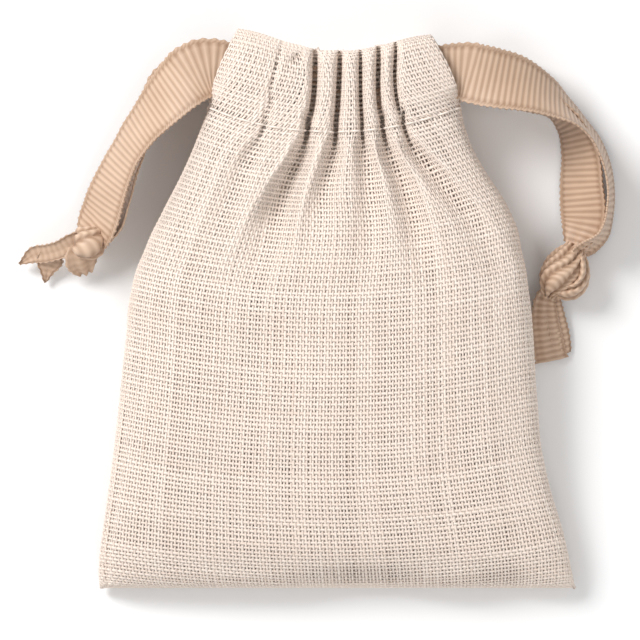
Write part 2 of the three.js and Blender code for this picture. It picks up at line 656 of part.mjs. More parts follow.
const cloth = bodySolid().add(frontChannel()).add(backChannel());
const group = new THREE.Group();
group.add(meshOf(cloth, "pouch_cloth", LINEN));
group.add(meshOf(ribbonSolid(LEFT_ROUTE, LEFT_ENDS, KNOTS.left), "ribbon_left", GROSGRAIN));
group.add(meshOf(ribbonSolid(RIGHT_ROUTE, RIGHT_ENDS, KNOTS.right), "ribbon_right", GROSGRAIN));

// The origin is at the middle of the bounding box, on the surface
const middle = new THREE.Box3().setFromObject(group).getCenter(new THREE.Vector3());
group.position.set(-middle.x, -middle.y, 0);

export default group;
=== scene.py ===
import math

import bpy
import numpy as np
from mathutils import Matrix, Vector


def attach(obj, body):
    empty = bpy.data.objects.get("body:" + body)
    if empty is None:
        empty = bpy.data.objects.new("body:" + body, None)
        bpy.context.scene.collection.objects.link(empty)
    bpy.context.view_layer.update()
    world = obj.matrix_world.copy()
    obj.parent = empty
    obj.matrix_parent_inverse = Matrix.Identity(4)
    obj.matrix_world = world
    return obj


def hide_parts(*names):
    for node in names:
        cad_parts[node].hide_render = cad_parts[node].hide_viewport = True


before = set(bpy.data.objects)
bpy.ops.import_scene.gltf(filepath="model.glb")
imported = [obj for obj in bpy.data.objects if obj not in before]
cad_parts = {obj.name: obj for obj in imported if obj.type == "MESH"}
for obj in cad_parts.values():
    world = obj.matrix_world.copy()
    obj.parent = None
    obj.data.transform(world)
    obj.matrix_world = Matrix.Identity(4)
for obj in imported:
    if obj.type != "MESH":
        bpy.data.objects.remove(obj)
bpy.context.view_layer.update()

# The pouch is one length of open plain-weave linen, with about 19 warp ends and 13 picks to the
# centimetre. It is folded at the bottom and sewn up both sides, and its top edges are turned in as
# channels for the ribbons, which gather it into six folds. Its yarns are modelled one by one.

# Outline and bulge by height, in millimetres. A higher square makes a boxier bulge, and flat is
# the share of the width on which the back lies on the table.
BODY = {
    "y": [0, 3.3, 10, 20, 30, 43.3, 50, 56.7, 63.3, 70, 76.7, 81.5],
    "left": [-39.9, -40.1, -39.4, -38.0, -36.8, -35.4, -34.6, -32.4, -29.3, -25.9, -23.1, -21.3],
    "right": [40.0, 39.3, 37.8, 35.0, 33.7, 32.8, 32.1, 30.9, 28.9, 24.8, 21.6, 20.7],
    "crown": [5.2, 8.9, 12.6, 15.4, 16.9, 17.7, 18.0, 18.1, 18.1, 18.1, 18.1, 18.1],
    "seam": [1.4, 2.5, 4.0, 5.4, 6.4, 7.0, 7.3, 7.6, 7.8, 8.0, 8.0, 8.0],
    "square": [4.0, 3.6, 3.0, 2.6, 2.4, 2.4, 2.5, 2.7, 3.0, 3.5, 4.0, 4.0],
    "flat": [0.9, 0.84, 0.78, 0.74, 0.72, 0.72, 0.74, 0.76, 0.8, 0.84, 0.87, 0.88],
}
# Each fold from left to right: its line, its depth, its half width, and half the width of the gap
# that stays at its bottom where it closes to a slit.
FOLDS = [
    {
        "y": [0, 50, 68.3, 77.7, 84.3, 92],
        "x": [-27, -21.5, -16.3, -12.0, -10.9, -8.9],
        "deep": [0, 0, 0.8, 1.1, 0.75, 0.6],
        "wide": [5, 4, 2.6, 1.8, 1.6, 1.4],
        "gap": 0.0,
    },
    {
        "y": [0, 44, 58.3, 67, 76.3, 91],
        "x": [-18, -15.5, -11.6, -8.7, -5.0, -3.6],
        "deep": [0, 0, 2.0, 3.2, 2.5, 2.5],
        "wide": [8, 7, 5, 3.2, 1.8, 1.6],
        "gap": 0.22,
    },
    {
        "y": [0, 50, 63.7, 71.7, 76.3, 91],
        "x": [-7, -5.5, -2.9, -1.0, -0.3, 0.5],
        "deep": [0, 0, 1.2, 2.2, 2.5, 2.5],
        "wide": [5, 5, 3, 2, 1.7, 1.6],
        "gap": 0.2,
    },
    {
        "y": [0, 48, 58, 67.7, 76.3, 91],
        "x": [5, 5.0, 5.2, 5.1, 4.1, 3.8],
        "deep": [0, 0, 0.9, 1.5, 2.1, 2.1],
        "wide": [4, 4, 3, 2.4, 1.6, 1.6],
        "gap": 0.1,
    },
    {
        "y": [0, 44, 57, 67, 76.3, 91],
        "x": [20, 17.5, 13.7, 11.1, 7.6, 6.8],
        "deep": [0, 0, 1.5, 2.2, 2.5, 2.5],
        "wide": [5, 5, 3.4, 2.6, 1.6, 1.5],
        "gap": 0.17,
    },
    {
        "y": [0, 46, 58.3, 68, 77, 92],
        "x": [31, 28, 24, 17.2, 11.1, 9.6],
        "deep": [0, 0, 1.0, 1.8, 2.2, 2.2],
        "wide": [4, 4, 3.4, 2.8, 1.7, 1.5],
        "gap": 0.08,
    },
]
# Two dents beside the left folds, the notch in the top edge and two dents in the bottom edge.
HOLLOWS = [
    {"x": -24, "y": 55, "along": 9, "across": 2.6, "turn": -38, "deep": 0.9},
    {"x": -11, "y": 41, "along": 6, "across": 4, "turn": -20, "deep": 0.8},
    {"x": -6.6, "y": 88.6, "along": 1.5, "across": 0.5, "turn": 48, "deep": 1.0},
    {"x": 4, "y": 0.8, "along": 2.0, "across": 9, "turn": 0, "deep": 2.6},
    {"x": 28, "y": 0.8, "along": 2.0, "across": 5, "turn": 0, "deep": 1.2},
]
HOLLOW_LIMIT = 0.5
DEEPER_FROM, DEEPER_ALL = 54, 66
SLITS_FROM, SLITS_ALL = 72.5, 76.5
SLIT_SQUARE = 2.6
SLIT_DEEPER = 2.5
TROUGH_WIDER = 1.2
BOTTOM_ROUND = 0.8
BEHIND_BOTTOM = -0.01
SEAM_DITCH = {"in": 1.5, "wide": 0.35, "deep": 0.45, "top": 34, "fade": 6}
SIDE_TURN = 0.045
STITCH_HEIGHT = 76.3
# The rows of the cloth curve up the front by this much at the sides, and keep that curve round the
# bottom and for the first few millimetres of the back.
SMILE = 4.2
SMILE_KEPT = 5
PICK_PITCH = 0.77
WARP_ENDS = 150
ROW_POINTS = 801
RIM_TOP, RIM_POINTS = 85, 4000
# Sizes are measured from the middle of the bottom edge, and the frame from the middle of the part.
TO_ROW_FRAME = np.array([3.3855, -46.9, 0.0])
dice = np.random.default_rng(7)


def read(table, column, at, by="y"):
    """A column of a table as a smooth curve, at any place between its rows."""
    places = np.array(table[by], float)
    values = np.array(table[column], float)
    at = np.clip(at, places[0], places[-1])
    low = np.clip(np.searchsorted(places, at) - 1, 0, len(places) - 2)
    before = np.maximum(np.arange(len(places)) - 1, 0)
    after = np.minimum(np.arange(len(places)) + 1, len(places) - 1)
    slope = (values[after] - values[before]) / (places[after] - places[before])
    span = places[low + 1] - places[low]
    t = (at - places[low]) / span
    start = values[low] + slope[low] * span * t
    end = values[low + 1] - slope[low + 1] * span * (1 - t)
    return start + (end - start) * t * t * (3 - 2 * t)


def smooth(t):
    """A soft step from 0 to 1."""
    t = np.clip(t, 0, 1)
    return t * t * (3 - 2 * t)


def fold_drop(x, y):
    """How deep the folds go: soft troughs on the body that close to open-topped slits above."""
    total = np.zeros_like(x)
    closing = smooth((y - SLITS_FROM) / (SLITS_ALL - SLITS_FROM))
    deepening = smooth((y - DEEPER_FROM) / (DEEPER_ALL - DEEPER_FROM))
    for fold in FOLDS:
        wide = read(fold, "wide", y)
        deeper = 1 + 0.25 * deepening + SLIT_DEEPER * fold["gap"] * closing
        deep = read(fold, "deep", y) * deeper
        away = np.maximum(0, np.abs(x - read(fold, "x", y)) - fold["gap"] * closing)
        near = np.maximum(0, 1 - away / wide)
        slit = 1 - (1 - near**SLIT_SQUARE) ** (1 / SLIT_SQUARE)
        trough = smooth(1 - away / (TROUGH_WIDER * wide))
        total += (deep * (trough + (slit - trough) * closing)) ** 4
    return total**0.25


def hollow_drop(x, y):
    """How deep the dents go."""
    total = np.zeros_like(x)
    for hollow in HOLLOWS:
        turn = math.radians(hollow["turn"])
        across = (x - hollow["x"]) * math.cos(turn) - (y - hollow["y"]) * math.sin(turn)
        along = (x - hollow["x"]) * math.sin(turn) + (y - hollow["y"]) * math.cos(turn)
        reach = (across / hollow["across"]) ** 2 + (along / hollow["along"]) ** 2
        total += hollow["deep"] * np.exp(-reach)
    return total


def front_height(x, y, aside):
    """The height of the face, where aside runs from -1 at the left seam to 1 at the right one."""
    square, seam = read(BODY, "square", y), read(BODY, "seam", y)
    crown = read(BODY, "crown", y)
    swell = np.maximum(0, 1 - np.abs(aside) ** square) ** (1 / square)
    drop = fold_drop(x, y) + np.minimum(hollow_drop(x, y), HOLLOW_LIMIT * (crown - seam))
    return seam + (crown - seam) * swell - drop * np.minimum(1, 2 * swell)


def back_height(y, aside):
    """The height of the back, flat on the table and rising to the side seams."""
    flat, seam = read(BODY, "flat", y), read(BODY, "seam", y)
    rise = np.clip((np.abs(aside) - flat) / (1 - flat), 0, 1)
    return seam * (1 - np.sqrt(1 - rise**2))


# How far along the cloth each height lies, up the front and up the back from the bottom fold.
rim_y = RIM_TOP * np.linspace(0, 1, RIM_POINTS) ** 2
rim_round = np.sqrt(1 - np.clip(1 - rim_y / BOTTOM_ROUND, 0, 1) ** 2)
rim_seam = read(BODY, "seam", rim_y)
rim_front = rim_seam + (read(BODY, "crown", rim_y) - rim_seam) * rim_round
rim_back = rim_seam * (1 - rim_round)
front_way = np.concatenate([[0], np.cumsum(np.hypot(np.diff(rim_y), np.diff(rim_front)))])
back_way = np.concatenate([[0], np.cumsum(np.hypot(np.diff(rim_y), np.diff(rim_back)))])
FRONT_LENGTH = float(np.interp(STITCH_HEIGHT, rim_y, front_way))
BACK_LENGTH = float(np.interp(STITCH_HEIGHT, rim_y, back_way))


def body_row(way):
    """One row of the cloth from seam to seam, this far up the front or, below 0, up the back."""
    aside = np.linspace(-1, 1, ROW_POINTS)
    turn_back = SMILE * (1 - 2 * smooth((-way - SMILE_KEPT) / (BACK_LENGTH - SMILE_KEPT)))
    place = way + (SMILE if way > -SMILE_KEPT else turn_back) * aside**2
    if way < -BACK_LENGTH / 2:
        place = np.minimum(place, BEHIND_BOTTOM)
    y_front = np.interp(place, front_way, rim_y)
    y_back = np.interp(-place, back_way, rim_y)
    y = np.where(place > 0, y_front, y_back)
    left, right = read(BODY, "left", y), read(BODY, "right", y)
    x = left + (right - left) * (aside + 1) / 2
    seam = read(BODY, "seam", y)
    around = np.sqrt(1 - np.clip(1 - y / BOTTOM_ROUND, 0, 1) ** 2)
    front = seam + (front_height(x, y, aside) - seam) * around
    ditch = np.exp(-(((x - left - SEAM_DITCH["in"]) / SEAM_DITCH["wide"]) ** 2))
    ditch = ditch * smooth((SEAM_DITCH["top"] - y) / SEAM_DITCH["fade"])
    front -= SEAM_DITCH["deep"] * ditch * around
    back = seam + (back_height(y, aside) - seam) * around
    return np.stack([x, y, np.where(place > 0, front, back)], axis=1)


def way_along(row):
    """How far along a row each of its points lies."""
    return np.concatenate([[0], np.cumsum(np.linalg.norm(np.diff(row, axis=0), axis=1))])


def landmarks(row):
    """How far along a row its ends, its side turns, the fold bottoms and the crests lie."""
    x, y = row[:, 0], row[:, 1]
    bottoms = np.array([read(fold, "x", y) for fold in FOLDS])
    crests = (bottoms[1:] + bottoms[:-1]) / 2
    turn = SIDE_TURN * (x[-1] - x[0])
    lines = [x[0] + turn, bottoms[0]]
    for crest, bottom in zip(crests, bottoms[1:]):
        lines += [crest, bottom]
    lines.append(x[-1] - turn)
    way = way_along(row)
    return np.array([0] + [np.interp(0, x - line, way) for line in lines] + [way[-1]])


def settled(shares, reach):
    """Each column smoothed from row to row, so that warp ends run on without a jump."""
    weight = np.exp(-((np.arange(-3 * reach, 3 * reach + 1) / reach) ** 2))
    padded = np.pad(shares, ((3 * reach, 3 * reach), (0, 0)), mode="edge")
    columns = [np.convolve(column, weight / weight.sum(), "valid") for column in padded.T]
    return np.stack(columns, axis=1)


def wander(yarns, points, step):
    """Slow random drift along each yarn, between about -1 and 1."""
    knots = dice.normal(0, 0.5, (yarns, points // step + 3))
    at = np.arange(points) / step
    low = at.astype(int)
    t = smooth(at - low)
    return knots[:, low] * (1 - t) + knots[:, low + 1] * t


def yarn_rings(middle, axis, out, wide, thick):
    """The four corners of a yarn at each point of its middle line."""
    side = np.cross(np.gradient(middle, axis=axis), out)
    side /= np.linalg.norm(side, axis=2, keepdims=True)
    half_wide = (wide / 2)[..., None] * side
    half_thick = (thick / 2)[..., None] * out
    ring = [middle + half_wide, middle + half_thick, middle - half_wide, middle - half_thick]
    return np.stack(ring, axis=2)


def yarn_faces(yarns, points, start=0):
    """The walls and the end caps of four-sided yarns, from their rings in order."""
    index = start + np.arange(yarns * points * 4).reshape(yarns, points, 4)
    here, there = index[:, :-1], index[:, 1:]
    turned_here, turned_there = np.roll(here, -1, axis=2), np.roll(there, -1, axis=2)
    walls = np.stack([here, turned_here, turned_there, there], axis=3).reshape(-1, 4)
    return walls, np.concatenate([index[:, 0, ::-1], index[:, -1]])


def piece_of(name, points, faces, material, tone, caps=0):
    """A smooth mesh from points in millimetres, with a tone for each. The last faces are caps."""
    mesh = bpy.data.meshes.new(name)
    mesh.from_pydata((points + TO_ROW_FRAME) / 1000, [], faces)
    mesh.polygons.foreach_set("use_smooth", np.arange(len(faces)) < len(faces) - caps)
    mesh.attributes.new("tone", "FLOAT", "POINT").data.foreach_set("value", tone)
    mesh.materials.append(material)
    piece = bpy.data.objects.new(name, mesh)
    bpy.context.collection.objects.link(piece)
    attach(piece, "root")
    return piece


class Maths:
    """A shader socket, for sums, products, clamps and colour mixes written in Python."""

    def __init__(self, tree, value):
        self.tree = tree
        self.value = value

    def node(self, kind, settings, inputs, output=0):
        made = self.tree.nodes.new(kind)
        for name, value in settings.items():
            setattr(made, name, value)
        for name, value in inputs.items():
            if isinstance(value, Maths):
                self.tree.links.new(value.value, made.inputs[name])
            else:
                made.inputs[name].default_value = value
        return Maths(self.tree, made.outputs[output])

    def maths(self, operation, first, second):
        return self.node("ShaderNodeMath", {"operation": operation}, {0: first, 1: second})

    def __add__(self, other):
        return self.maths("ADD", self, other)

    __radd__ = __add__

    def __mul__(self, other):
        return self.maths("MULTIPLY", self, other)

    __rmul__ = __mul__

    def clamped(self):
        return self.node("ShaderNodeClamp", {}, {"Value": self})

    def mix(self, first, second):
        inputs = {"Factor": self, "A": first, "B": second}
        return self.node("ShaderNodeMix", {"data_type": "RGBA"}, inputs, 2)


# The yarns' middle lines lie below the cloth's outer surface by its depth, and swing to and from
# it by the crimp at each crossing. Their thickness is a share of their width.
CLOTH_DEPTH = 0.26
CRIMP = 0.07
WARP_WIDTH, WARP_THICKNESS = 0.41, 0.36
PICK_WIDTH, PICK_THICKNESS = 0.52, 0.3
UNCROWDED_PITCH = 0.47
DARKER_FLAX = (0.80, 0.66, 0.565, 1)
LIGHTER_FLAX = (0.93, 0.825, 0.74, 1)

linen = bpy.data.materials.new("unbleached linen yarn")
linen.use_nodes = True
linen_shader = linen.node_tree.nodes["Principled BSDF"]
linen_shader.inputs["Roughness"].default_value = 0.85
linen_shader.inputs["Specular IOR Level"].default_value = 0.25
linen_shader.inputs["Sheen Weight"].default_value = 0.15
linen_shader.inputs["Sheen Roughness"].default_value = 0.5
shade = Maths(linen.node_tree, None)
tone = shade.node("ShaderNodeAttribute", {"attribute_name": "tone"}, {}, "Fac")
yarn_colour = (tone * 0.15 + 0.5).clamped().mix(DARKER_FLAX, LIGHTER_FLAX)
linen.node_tree.links.new(yarn_colour.value, linen_shader.inputs["Base Color"])

TOP_EDGE = {
    "x": [-16.6, -12.9, -6.8, 0.0, 7.3, 11.8, 15.6],
    "y": [93.8, 93.0, 91.1, 90.1, 91.0, 92.2, 92.8],
}
# A channel from its stitching over the top edge and down inside to the hem, in shares of its
# height and of its depth.
CHANNEL_SECTION = {
    "up": [0, 0.3, 0.6, 0.88, 0.965, 1, 0.965, 0.88, 0.5, 0.16, 0.03],
    "depth": [0, 0, 0, 0, 0.18, 0.5, 0.82, 1, 1, 1, 0.6],
}
CHANNEL_HEIGHT = 13.6
CHANNEL_DEPTH = 6.0
# The stitching reaches this height at the side seams.
CHANNEL_FOOT = 80.5
CHANNEL_BOW = 0.8
CHANNEL_BLEND = 0.32
FACE_EDGE, FACE_SWELL, FACE_LOWEST = 15.8, 2.5, 13.7
FRONT_HEM, BACK_HEM = 10.9, 4.9
BACK_NARROWER, BACK_LOWER = 0.07, 0.8


def channel_row(up, depth, front):
    """One row of a channel: up from the stitching, and deep from its face to the turned-in hem."""
    share = 1.0 if front else 1 - BACK_NARROWER * float(smooth(up / 0.3))
    bow = CHANNEL_BOW * math.sin(math.pi * up)
    across = np.linspace(0, 1, ROW_POINTS)
    stitch_y = STITCH_HEIGHT + SMILE * (2 * across - 1) ** 2
    stitch_left, stitch_right = read(BODY, "left", CHANNEL_FOOT), read(BODY, "right", CHANNEL_FOOT)
    left = (stitch_left + (TOP_EDGE["x"][0] - stitch_left) * up - bow) * share
    right = (stitch_right + (TOP_EDGE["x"][-1] - stitch_right) * up + bow) * share
    x = left + (right - left) * across
    top_x = TOP_EDGE["x"][0] + (TOP_EDGE["x"][-1] - TOP_EDGE["x"][0]) * across
    top_y = read(TOP_EDGE, "y", top_x, "x") - (0 if front else BACK_LOWER)
    y = stitch_y + (top_y - stitch_y) * up
    aside = 2 * across - 1
    to_body = (1 - smooth(up / CHANNEL_BLEND)) * (depth == 0)
    if front:
        crest = FACE_EDGE + FACE_SWELL * (1 - np.abs(aside) ** 6)
        face = crest - np.minimum(fold_drop(x, y) + hollow_drop(x, y), crest - FACE_LOWEST)
        z = face + (FRONT_HEM - face) * depth
        z += (front_height(x, stitch_y, aside) - z) * to_body
    else:
        z = np.full_like(x, BACK_HEM * depth)
        z += (back_height(stitch_y, aside) - z) * to_body
    return np.stack([x, y, z], axis=1)


rise = np.diff(CHANNEL_SECTION["up"]) * CHANNEL_HEIGHT
inward = np.diff(CHANNEL_SECTION["depth"]) * CHANNEL_DEPTH
way_up = np.concatenate([[0], np.cumsum(np.hypot(rise, inward))])
channel_ways = np.arange(PICK_PITCH, way_up[-1], PICK_PITCH)
channel_ups = np.interp(channel_ways, way_up, CHANNEL_SECTION["up"])
channel_depths = np.interp(channel_ways, way_up, CHANNEL_SECTION["depth"])
channel_places = list(zip(channel_ups, channel_depths))
body_ways = np.arange(FRONT_LENGTH, -BACK_LENGTH, -PICK_PITCH)

# Every crossing of the whole cloth, pick by pick, from the front hem over the face, round the
# bottom and up the back to the back hem.
rows = [channel_row(up, depth, True) for up, depth in reversed(channel_places)]
rows += [body_row(way) for way in body_ways]
rows += [channel_row(up, depth, False) for up, depth in channel_places]
picks = len(rows)
marks = np.stack([landmarks(row) for row in rows])
shares = settled(marks / marks[:, -1:], 6)
ends = (np.arange(WARP_ENDS) + 0.5) / WARP_ENDS
crossings = np.empty((picks, WARP_ENDS, 3))
for pick, row in enumerate(rows):
    at = np.interp(ends, shares[pick], marks[pick])
    for axis in range(3):
        crossings[pick, :, axis] = np.interp(at, way_along(row), row[:, axis])
up, across = np.gradient(crossings, axis=0), np.gradient(crossings, axis=1)
out = np.cross(up, across)
out /= np.linalg.norm(out, axis=2, keepdims=True)
out *= np.sign(out[len(channel_ways) + 30, WARP_ENDS // 2, 2])
across_length = np.linalg.norm(across, axis=2, keepdims=True)
across /= across_length
up /= np.linalg.norm(up, axis=2, keepdims=True)

# Each yarn drifts sideways and changes in width and tone over so many crossings, and has a width
# and tone of its own. At every other pick the warp ends draw together in pairs.
DRIFT_RUN, WIDTH_RUN, TONE_RUN = 16, 9, 7
WARP_DRIFT, PICK_DRIFT, PAIRING = 0.1, 0.08, 0.055
WARP_UNEVEN, PICK_UNEVEN, OWN_WIDTH = 0.13, 0.15, 0.09
OWN_TONE = 0.7

in_pairs = np.where(np.arange(WARP_ENDS) % 2, 1.0, -1.0) * (np.arange(picks) % 2)[:, None]
warp_drift = wander(WARP_ENDS, picks, DRIFT_RUN).T * WARP_DRIFT + PAIRING * in_pairs
warp_drift = warp_drift[..., None] * across_length
pick_drift = wander(picks, WARP_ENDS, DRIFT_RUN)[..., None] * PICK_DRIFT
over = np.where((np.arange(picks)[:, None] + np.arange(WARP_ENDS)) % 2, 1.0, -1.0)[..., None]
laid = crossings + across * warp_drift + up * pick_drift - out * CLOTH_DEPTH
crowding = np.minimum(1, 0.2 + 0.8 * across_length[..., 0] / UNCROWDED_PITCH)
warp_wide = WARP_WIDTH * (1 + WARP_UNEVEN * wander(WARP_ENDS, picks, WIDTH_RUN).T) * crowding
warp_wide *= 1 + OWN_WIDTH * dice.normal(size=WARP_ENDS)
pick_wide = PICK_WIDTH * (1 + PICK_UNEVEN * wander(picks, WARP_ENDS, WIDTH_RUN))
pick_wide *= 1 + OWN_WIDTH * dice.normal(size=(picks, 1))
warp_tone = wander(WARP_ENDS, picks, TONE_RUN).T + OWN_TONE * dice.normal(size=WARP_ENDS)
pick_tone = wander(picks, WARP_ENDS, TONE_RUN) + OWN_TONE * dice.normal(size=(picks, 1))
warp_rings = yarn_rings(laid + over * out * CRIMP, 0, out, warp_wide, WARP_THICKNESS * warp_wide)
pick_rings = yarn_rings(laid - over * out * CRIMP, 1, out, pick_wide, PICK_THICKNESS * pick_wide)


def yarn_piece(name, groups):
    """One piece from groups of yarns: the rings of each and a tone for each ring."""
    walls, caps, count = [], [], 0
    for corners, tones in groups:
        own_walls, own_caps = yarn_faces(*corners.shape[:2], count)
        walls.append(own_walls)
        caps.append(own_caps)
        count += corners.size // 3
    points = np.concatenate([corners.reshape(-1, 3) for corners, tones in groups])
    tone = np.concatenate([np.repeat(tones.ravel(), 4) for corners, tones in groups])
    piece = piece_of(name, points, np.concatenate(walls + caps), linen, tone, sum(map(len, caps)))
    return piece


def woven(name, first, last):
    """The cloth from one pick to another, its warp ends parted where they dive under a pick."""
    groups = [(pick_rings[first:last], pick_tone[first:last])]
    for odd in (0, 1):
        start = first + (first + odd) % 2 if first else 0
        stop = last + 1 + (last + odd) % 2 if last < picks else picks
        warps = warp_rings[start:stop, odd::2].swapaxes(0, 1)
        groups.append((warps, warp_tone[start:stop, odd::2].T))
    piece = yarn_piece(name, groups)
    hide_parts("pouch_cloth")
    return piece


hem = len(channel_ways)
bottom = hem + int(np.searchsorted(-body_ways, SMILE + 1))
front_half, back_half = (hem + bottom) // 2, (bottom + picks - hem) // 2
woven("linen_front_channel", 0, hem)
woven("linen_front_upper", hem, front_half)
woven("linen_front_lower", front_half, bottom)
woven("linen_back_lower", bottom, back_half)
woven("linen_back_upper", back_half, picks - hem)
woven("linen_back_channel", picks - hem, picks)

# The channels are closed below by a running stitch of white cotton thread, on the front and on the
# back. It goes through both layers just under the turned-in hems.

# A stitch covers five warp ends out of six, and lifts off the cloth in its middle.
STITCH_EVERY = 6
STITCH_LIFT = np.array([-0.12, 0.1, 0.16, 0.1, -0.12])
STITCH_PROUD = 0.1
THREAD_WIDTH = 0.36
THREAD_TONE = 2.6
stitch_starts = np.arange(1, WARP_ENDS - STITCH_EVERY, STITCH_EVERY)
stitch_spans = stitch_starts[:, None] + np.arange(len(STITCH_LIFT))
stitches = []
for row in (hem, picks - hem - 1):
    stitch_out = out[row][stitch_spans]
    middle = laid[row][stitch_spans] + stitch_out * (STITCH_LIFT + STITCH_PROUD)[:, None]
    thread = np.full(stitch_spans.shape, THREAD_WIDTH)
    white = np.full(stitch_spans.shape, THREAD_TONE)
    stitches.append((yarn_rings(middle, 1, stitch_out, thread, thread), white))
yarn_piece("channel_stitches", stitches)

# The left drawstring is 10 mm grosgrain ribbon, woven with a rib to the millimetre and a looped
# selvedge. It runs through both channels, comes out on the left and its two ends are knotted.

# The ribbon's middle line from its knot through both channels and back, in millimetres, with the
# turn and the tilt of its width in degrees and the width that it is gathered to.
LEFT_ROUTE = {
    "x": [
        -41.8, -40.9, -39.8, -38.6, -36.7, -34.2, -30, -26, -23.8, -21, -14, -8, 0, 8, 14, 19.5,
        21.4, 23.2, 23.6, 23.2, 21.2, 19, 14, 8, 0, -8, -14, -19.6, -24.6, -28.4, -31, -32.9,
        -34.6, -37, -40.2
    ],
    "y": [
        57.4, 59.8, 62.4, 66, 70.6, 75.2, 80.6, 84.7, 86.3, 87.2, 86, 86.3, 85.7, 86.3, 86, 86.8,
        86.8, 86.8, 86.8, 86.8, 86.8, 86.6, 85.8, 85.8, 85.2, 85.9, 85.8, 86.6, 85.6, 82.6, 77.6,
        71.8, 66.2, 61.4, 58.6
    ],
    "z": [
        3.2, 4.8, 6.2, 7.4, 8.6, 9.8, 11.8, 13.7, 14.1, 14, 14, 14, 13.35, 12.7, 12.7, 12.7, 12.5,
        10.6, 7.9, 5.2, 3.4, 3.1, 3.1, 3.1, 2.45, 1.8, 1.8, 1.75, 1.7, 3.8, 5.4, 5.6, 5.5, 5, 4.2
    ],
    "turn": [
        175, 172, 168, 162, 156, 144, 128, 107, 98, 93, 92, 92, 90, 88, 90, 90, 90, 90, 90, 90, 90,
        90, 90, 88, 90, 92, 92, 96, 108, 124, 140, 156, 162, 160, 160
    ],
    "tilt": [
        -34, -44, -49, -52, -57, -56, -40, -13, -3, 0, 0, 0, 0, 0, 0, 0, 0, 0, 0, 0, 0, 0, 0, 0, 0,
        0, 0, 0, -2, -40, -74, -84, -84, -68, -44
    ],
    "wide": [
        4.5, 8, 9.6, 10, 10, 10, 10, 10, 10, 9.4, 7, 3.8, 3.8, 3.8, 7, 6.8, 7, 7, 7, 7, 7, 7,
        6.4, 3.6, 3.6, 3.6, 6.4, 7.4, 8.6, 9.6, 10, 10, 9.8, 8, 4.5
    ],
}

LEFT_FREE_END = {
    "x": [-41.6, -43.7, -46.4, -48.6, -50.7, -52.1, -53.2],
    "y": [58.3, 58.0, 56.8, 56.2, 55.9, 55.1, 54.4],
    "z": [5.8, 5.6, 4.8, 3.9, 3.0, 2.4, 2.0],
    "turn": [108, 110, 106, 98, 98, 104, 110],
    "tilt": [16, 18, 20, 18, 14, 10, 8],
    "wide": [3.2, 3.6, 3.2, 3.1, 2.8, 1.5, 0.3],
}
LEFT_LOWER_TIP = {
    "x": [-46.9, -47.7, -48.2, -48.6, -48.9],
    "y": [57.0, 56.0, 54.7, 53.0, 51.3],
    "z": [3.6, 3.1, 2.5, 1.8, 1.1],
    "turn": [160, 168, 172, 170, 168],
    "tilt": [8, 6, 4, 2, 0],
    "wide": [2.6, 3.8, 4.3, 2.2, 0.3],
}
LEFT_FAN = {
    "x": [-42.7, -42.9, -42.8, -42.3, -41.9],
    "y": [57.8, 56.6, 55.3, 53.9, 52.9],
    "z": [4.6, 4.9, 4.6, 3.6, 2.6],
    "turn": [12, 12, 12, 12, 14],
    "tilt": [-6, -8, -8, -10, -10],
    "wide": [3.0, 4.6, 5.5, 4.9, 2.8],
}
RIBBON_THICKNESS = 0.34
RIBBON_WIDTH = 10.0
RIB_PITCH, RIB_HEIGHT = 1.0, 0.075
# The selvedge begins at this share of the half width, with a sunk line and then two rows of loops.
SELVEDGE, LOOP_ROWS = 0.86, 0.9
SELVEDGE_SUNK, LOOP_REACH = 0.05, 0.14
PLEAT_WAVES = 1.3
TABLE_GAP = 0.02
RING_STEP = 0.25
# Where the ribbon is hidden in the channels its rings lie further apart.
HIDDEN_MIDDLE, HIDDEN_HALF, HIDDEN_ABOVE, HIDDEN_SHARE = -0.5, 17.5, 79, 0.3
HALF_ACROSS = [0.25, 0.5, 0.7, 0.84, 0.88, 0.97, 1]
ACROSS = np.array([-share for share in reversed(HALF_ACROSS)] + [0] + HALF_ACROSS)


def curve_through(places, at):
    """A smooth curve through points, at whole numbers on the points themselves."""
    ends = [2 * places[0] - places[1], 2 * places[-1] - places[-2]]
    places = np.concatenate([ends[:1], places, ends[1:]])
    low = np.clip(at.astype(int), 0, len(places) - 4)
    t = (at - low)[:, None]
    p = [places[low + k] for k in range(4)]
    a, b, c = [np.sqrt(np.linalg.norm(p[k + 1] - p[k], axis=1))[:, None] for k in range(3)]
    start = ((p[1] - p[0]) / a - (p[2] - p[0]) / (a + b) + (p[2] - p[1]) / b) * b
    end = ((p[2] - p[1]) / b - (p[3] - p[1]) / (b + c) + (p[3] - p[2]) / c) * b
    bend = 3 * (p[2] - p[1]) - 2 * start - end
    return p[1] + t * (start + t * (bend + t * (start + end - 2 * (p[2] - p[1]))))


